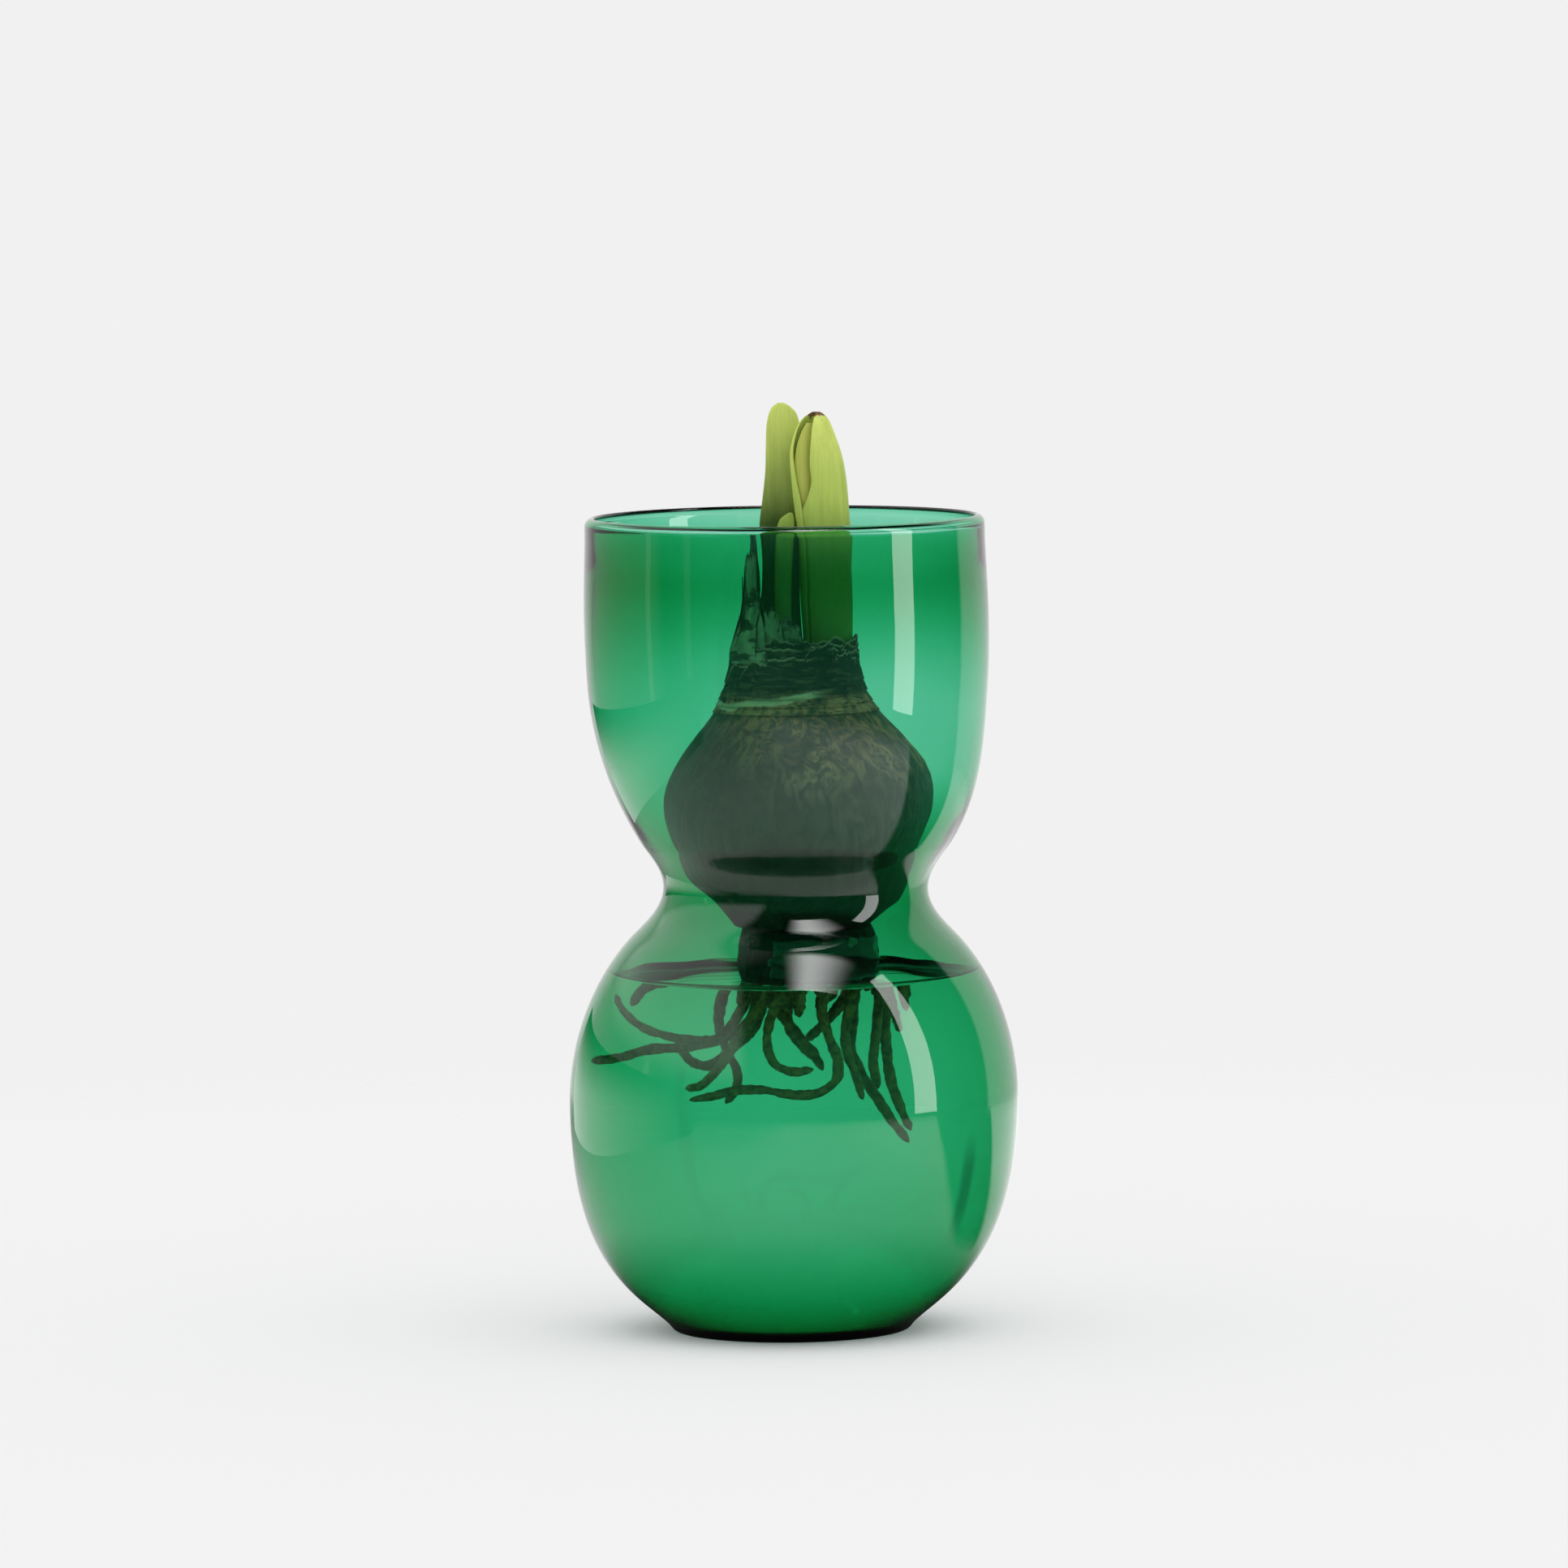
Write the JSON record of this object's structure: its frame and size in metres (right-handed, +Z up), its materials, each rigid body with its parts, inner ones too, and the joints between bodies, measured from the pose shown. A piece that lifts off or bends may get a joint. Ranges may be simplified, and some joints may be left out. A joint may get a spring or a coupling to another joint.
{
  "type": "bulb forcing vase",
  "caption": "Blown green glass vase with a cup, a pinched waist and a water-filled globe; a sprouting bulb rests in the funnel with its roots in the water.",
  "frame": {"origin": "on the surface that the vase stands on, under the centre of its globe", "axes": "+Z up along the vase; +X to the right and -Y towards the viewer, as pictured"},
  "size_m": [0.1322, 0.1322, 0.2727],
  "materials": {
    "green_glass": "clear bottle-green, polished, hand blown",
    "water": "clear, wet",
    "bulb_skin": "papery olive brown with fine cracks",
    "torn_skin": "dry, dark, wrinkled, torn edges",
    "wet_scale": "wet and glossy, dark",
    "basal_plate": "corky, ridged, dark",
    "leaf": "waxy yellow green",
    "inner_leaf": "waxy pale green",
    "root": "wet, fleshy, pale olive"
  },
  "bodies": {
    "vase": {"glass_vase": "green_glass", "water": "water"},
    "bulb": {"bulb_body": "bulb_skin", "basal_plate": "basal_plate", "wet_scale": "wet_scale", "skin_band_lower": "torn_skin", "skin_band_upper": "torn_skin", "dry_sheath": "torn_skin", "left_leaf": "leaf", "small_leaf": "leaf", "right_leaf": "leaf", "inner_leaf": "inner_leaf", "root_left_upper": "root", "root_left_lower": "root", "root_left_hook": "root", "root_left_diagonal": "root", "root_left_straight": "root", "root_long_bow": "root", "root_front_loop": "root", "root_middle_short": "root", "root_right_straight": "root", "root_right_deep": "root", "root_right_front": "root", "root_right_short": "root", "root_surface_left": "root", "root_front_cross": "root", "root_middle_cross": "root", "root_right_fork": "root"}
  },
  "joints": [
    {"name": "bulb_lift", "type": "slide", "parent": "vase", "child": "bulb", "axis": [0, 0, 1], "range_m": [0, 0.2], "deforming": ["water", "root_left_upper", "root_left_lower", "root_left_hook", "root_left_diagonal", "root_left_straight", "root_long_bow", "root_front_loop", "root_middle_short", "root_right_straight", "root_right_deep", "root_right_front", "root_right_short", "root_surface_left", "root_front_cross", "root_middle_cross", "root_right_fork"]}
  ]
}
